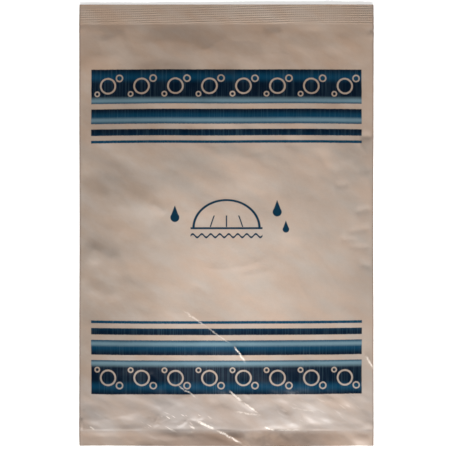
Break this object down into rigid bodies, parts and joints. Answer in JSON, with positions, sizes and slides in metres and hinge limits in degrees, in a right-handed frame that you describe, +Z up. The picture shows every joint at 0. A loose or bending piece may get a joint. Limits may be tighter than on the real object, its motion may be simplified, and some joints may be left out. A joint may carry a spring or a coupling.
{
  "type": "shower cap in a sealed sachet",
  "caption": "Flat sealed film sachet with a ribbed top crimp and a printed front, holding a folded disposable shower cap that draws out once the top strip is torn off.",
  "frame": {"origin": "on the resting plane, under the middle of the sachet", "axes": "+Y along the sachet towards the ribbed crimp, +Z up out of the printed front, +X to the right seen from the front"},
  "size_m": [0.1, 0.15, 0.0082],
  "materials": {
    "printed_film": "satin pearly film with a printed front",
    "plain_film": "satin pearly film",
    "crimp": "ribbed, heat sealed film",
    "weld": "glossy weld line",
    "cap_film": "thin frosted translucent film",
    "elastic": "matte elastic thread"
  },
  "bodies": {
    "sachet": {"front_film": "printed_film", "back_film": "plain_film", "bottom_weld": "weld", "back_lip": "plain_film"},
    "lip_flap": {"front_lip": "printed_film"},
    "tear_strip": {"strip_front_film": "printed_film", "strip_back_film": "plain_film", "crimp_front_ply": "crimp", "crimp_back_ply": "crimp"},
    "folded_cap": {"crown_film": "cap_film", "hem_run_1": "cap_film", "hem_run_2": "cap_film", "hem_run_3": "cap_film", "elastic_loop": "elastic"}
  },
  "joints": [
    {"name": "cap_draw", "type": "slide", "parent": "sachet", "child": "folded_cap", "axis": [0, 1, 0], "range_m": [0, 0.12]},
    {"name": "strip_tear", "type": "slide", "parent": "sachet", "child": "tear_strip", "axis": [0, 1, 0], "range_m": [0, 0.15]},
    {"name": "lip_lift", "type": "hinge", "parent": "sachet", "child": "lip_flap", "pos_m": [0, -0.0702, 0.00202], "axis": [-1, 0, 0], "range_deg": [0, 80]}
  ],
  "couplings": [
    {"joint": "strip_tear", "follows": "cap_draw", "ratio": 1.25}
  ]
}
